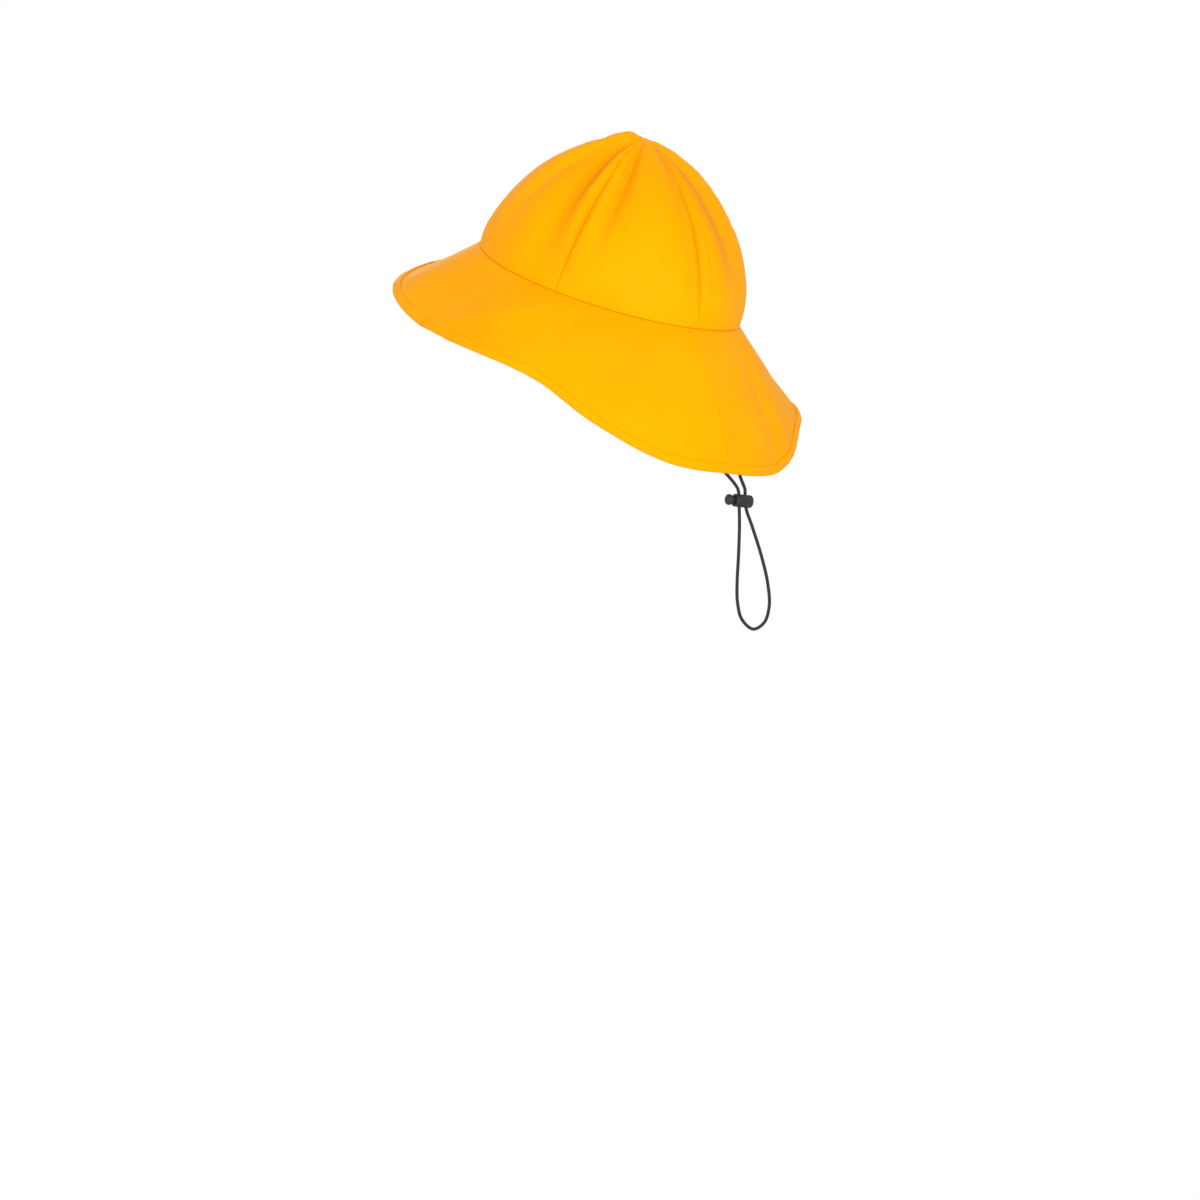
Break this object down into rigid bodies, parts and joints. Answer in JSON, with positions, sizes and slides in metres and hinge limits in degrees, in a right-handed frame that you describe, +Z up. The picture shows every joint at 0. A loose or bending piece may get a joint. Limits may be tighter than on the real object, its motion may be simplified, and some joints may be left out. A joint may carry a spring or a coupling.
{
  "type": "sou'wester rain hat with chin cord",
  "caption": "Rain hat with a round gored crown and a sloping brim that is wide at the back and narrow at the front, with a bound edge and a chin cord with a barrel lock.",
  "frame": {"origin": "middle of the headband, in the plane of the seam between crown and brim, where the hat sits on a head", "axes": "+Z up with the hat tipped back 26.4 degrees as it is worn, +Y towards the back of the head, +X towards the wearer's left"},
  "size_m": [0.2783, 0.3009, 0.3453],
  "materials": {
    "coated_cloth": "yellow cloth with a smooth satin coating",
    "edge_strip": "the same coated cloth, folded and stitched",
    "tab_tape": "black woven tape",
    "elastic_cord": "black braided elastic cord",
    "lock_plastic": "black moulded plastic, fine matt texture"
  },
  "bodies": {
    "root": {"crown_gore_1": "coated_cloth", "crown_gore_2": "coated_cloth", "crown_gore_3": "coated_cloth", "crown_gore_4": "coated_cloth", "crown_gore_5": "coated_cloth", "crown_gore_6": "coated_cloth", "brim_panel": "coated_cloth", "edge_binding": "edge_strip", "cord_tab_left": "tab_tape", "cord_tab_right": "tab_tape", "chin_cord_left": "elastic_cord", "chin_cord_right": "elastic_cord", "chin_cord_loop": "elastic_cord", "cord_stopper_barrel": "lock_plastic", "cord_stopper_plunger": "lock_plastic"}
  },
  "joints": []
}
